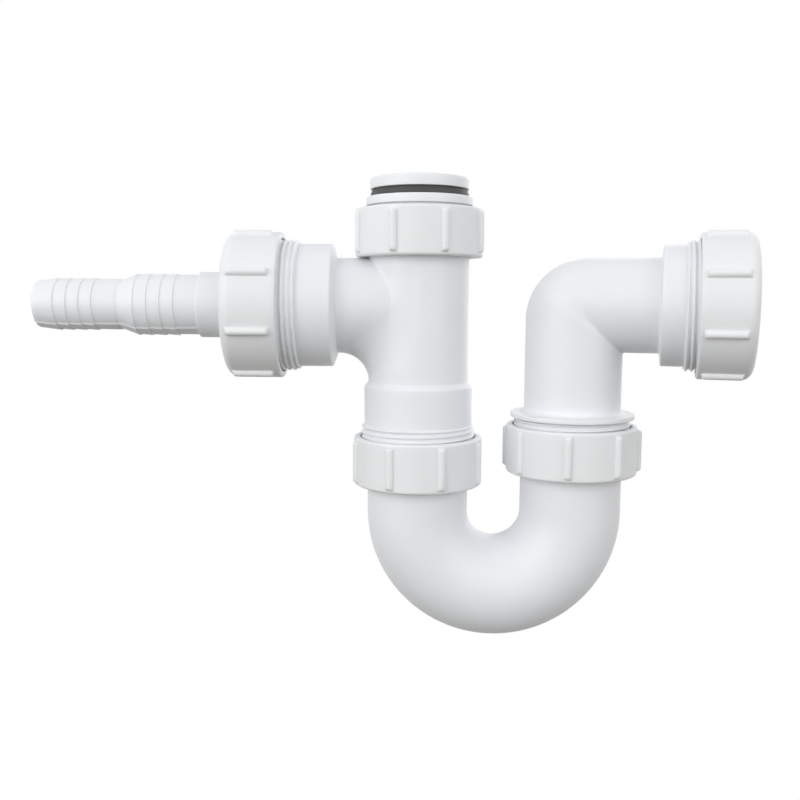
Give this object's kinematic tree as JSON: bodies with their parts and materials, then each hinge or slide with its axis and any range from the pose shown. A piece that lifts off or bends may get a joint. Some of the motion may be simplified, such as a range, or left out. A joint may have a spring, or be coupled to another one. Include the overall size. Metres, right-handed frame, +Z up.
{
  "type": "sink p-trap",
  "caption": "White plastic P-trap with a stepped hose nozzle on its tee, a swivelling U-bend and outlet elbow, and ribbed union nuts.",
  "frame": {"origin": "centre of the inlet spigot's top face", "axes": "+Z up along the inlet, +X from the hose nozzle to the outlet, +Y away from the side that the outlet swings to"},
  "size_m": [0.302, 0.0781, 0.1946],
  "materials": {
    "body_white": "satin moulded polypropylene, slightly cool white",
    "nut_white": "satin moulded polypropylene, neutral white",
    "washer_white": "smooth unpolished plastic",
    "rubber_black": "black moulded rubber"
  },
  "bodies": {
    "tee": {"tee_body": "body_white", "inlet_seal": "rubber_black"},
    "inlet_nut": {"inlet_nut": "nut_white"},
    "nozzle": {"hose_nozzle": "body_white", "nozzle_seal": "rubber_black"},
    "nozzle_nut": {"nozzle_nut": "nut_white"},
    "bend": {"u_bend": "body_white", "u_inlet_seal": "rubber_black", "u_outlet_seal": "rubber_black"},
    "bend_inlet_nut": {"u_inlet_nut": "nut_white"},
    "elbow": {"outlet_elbow": "body_white", "outlet_seal": "rubber_black"},
    "bend_outlet_nut": {"u_outlet_nut": "nut_white"},
    "slip_washer": {"outlet_slip_washer": "washer_white"},
    "outlet_nut": {"outlet_nut": "nut_white"}
  },
  "joints": [
    {"name": "inlet_nut_lift", "type": "slide", "parent": "tee", "child": "inlet_nut", "axis": [0, 0, 1], "range_m": [0, 0.018]},
    {"name": "nozzle_swivel", "type": "hinge", "parent": "tee", "child": "nozzle", "pos_m": [-0.0732, 0, -0.0527], "axis": [1, 0, 0], "continuous": true},
    {"name": "nozzle_nut_turn", "type": "hinge", "parent": "tee", "child": "nozzle_nut", "pos_m": [-0.0797, 0, -0.0527], "axis": [-1, 0, 0], "range_deg": [0, 920]},
    {"name": "bend_swivel", "type": "hinge", "parent": "tee", "child": "bend", "pos_m": [0, 0, -0.1187], "axis": [0, 0, 1], "range_deg": [-90, 90]},
    {"name": "bend_inlet_nut_turn", "type": "hinge", "parent": "tee", "child": "bend_inlet_nut", "pos_m": [0, 0, -0.1079], "axis": [0, 0, -1], "range_deg": [0, 1040]},
    {"name": "elbow_swivel", "type": "hinge", "parent": "bend", "child": "elbow", "pos_m": [0.0659, 0, -0.1135], "axis": [0, 0, 1], "range_deg": [-74, 106]},
    {"name": "bend_outlet_nut_turn", "type": "hinge", "parent": "elbow", "child": "bend_outlet_nut", "pos_m": [0.0659, 0, -0.1027], "axis": [0, 0, -1], "range_deg": [0, 1140]},
    {"name": "slip_washer_travel", "type": "slide", "parent": "elbow", "child": "slip_washer", "axis": [0.9613, -0.2756, 0], "range_m": [0, 0.007]},
    {"name": "outlet_nut_turn", "type": "hinge", "parent": "slip_washer", "child": "outlet_nut", "pos_m": [0.13434, -0.01963, -0.0519], "axis": [0.9613, -0.2756, 0], "range_deg": [0, 1080]}
  ],
  "couplings": [
    {"joint": "slip_washer_travel", "follows": "outlet_nut_turn", "m_per_rad": 0.00036606}
  ]
}
